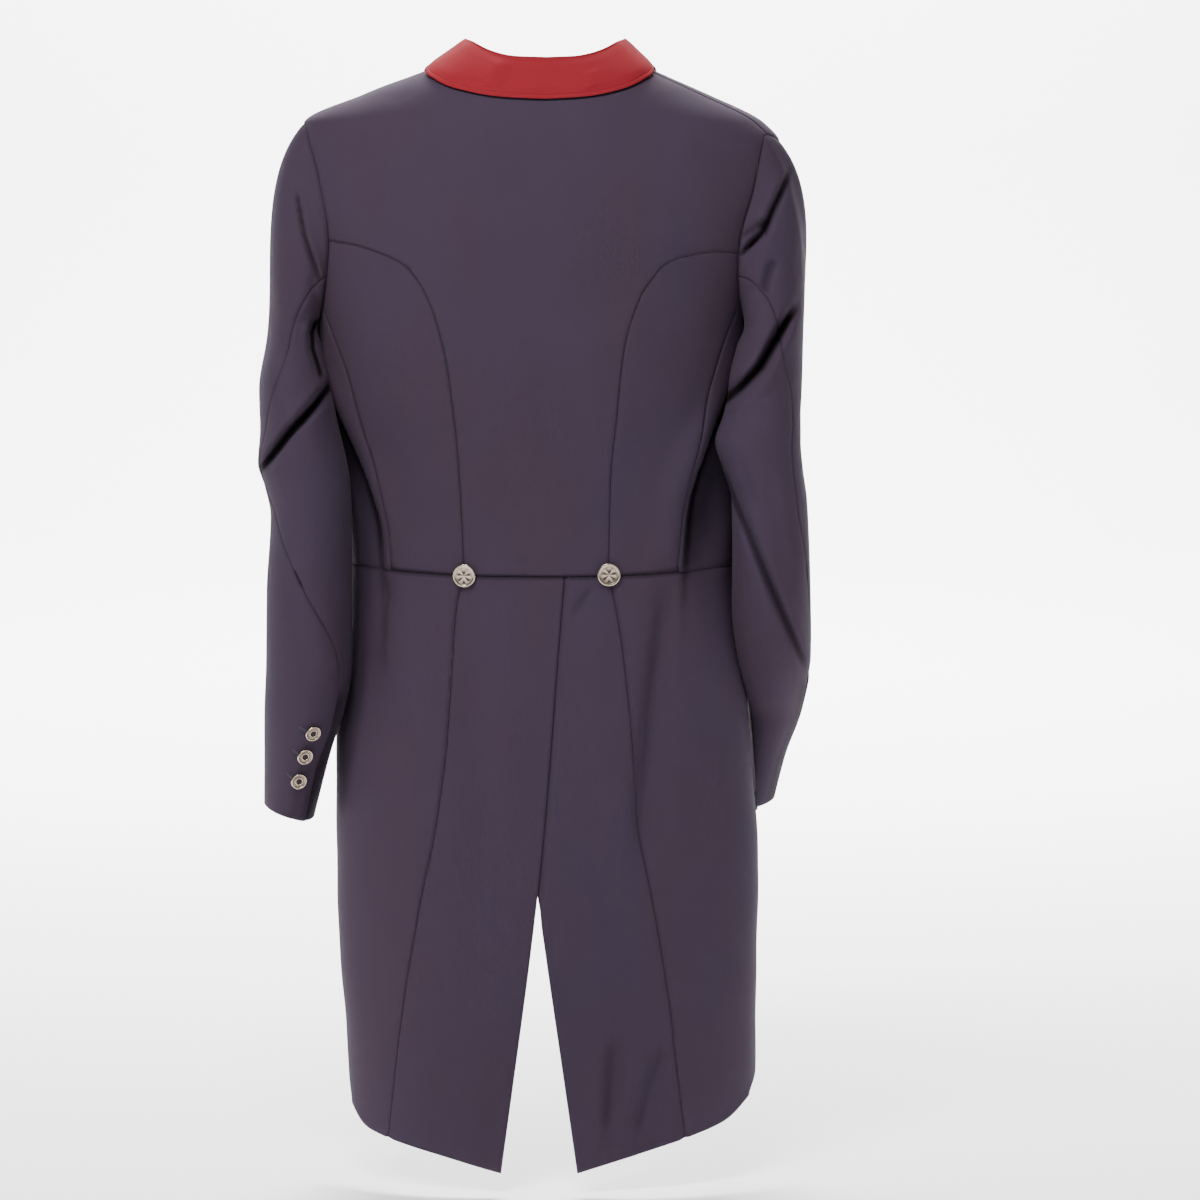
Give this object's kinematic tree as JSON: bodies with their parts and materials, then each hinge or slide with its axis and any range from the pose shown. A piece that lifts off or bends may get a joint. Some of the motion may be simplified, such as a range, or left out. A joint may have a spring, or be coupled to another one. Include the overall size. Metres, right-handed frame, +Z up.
{
  "type": "dressage tailcoat",
  "caption": "Hollow worn-shape tailcoat with a contrast collar, princess seams, a cut-away waist front, long split tails and round buttons.",
  "frame": {"origin": "middle of the neck opening, level with the shoulder beside the collar, where the wearer's neck and shoulders hold the coat up", "axes": "+Z up along the wearer, +Y towards the wearer's back, +X towards the wearer's left"},
  "size_m": [0.4956, 0.2472, 1.0014],
  "materials": {
    "coat_cloth": "smooth fine twill",
    "collar_cloth": "smooth, faint sheen",
    "button_metal": "polished pale metal"
  },
  "bodies": {
    "root": {"back": "coat_cloth", "side_back_left": "coat_cloth", "side_back_right": "coat_cloth", "front_left": "coat_cloth", "front_right": "coat_cloth", "lapel_left": "coat_cloth", "lapel_right": "coat_cloth", "collar": "collar_cloth", "tail_back_left": "coat_cloth", "tail_back_right": "coat_cloth", "tail_side_left": "coat_cloth", "tail_side_right": "coat_cloth", "upper_sleeve_left": "coat_cloth", "upper_sleeve_right": "coat_cloth", "under_sleeve_left": "coat_cloth", "under_sleeve_right": "coat_cloth", "tail_button_left": "button_metal", "tail_button_right": "button_metal", "cuff_button_left_1": "button_metal", "cuff_button_left_2": "button_metal", "cuff_button_left_3": "button_metal", "cuff_button_right_1": "button_metal", "cuff_button_right_2": "button_metal", "cuff_button_right_3": "button_metal", "front_button_1": "button_metal", "front_button_2": "button_metal", "front_button_3": "button_metal"}
  },
  "joints": []
}
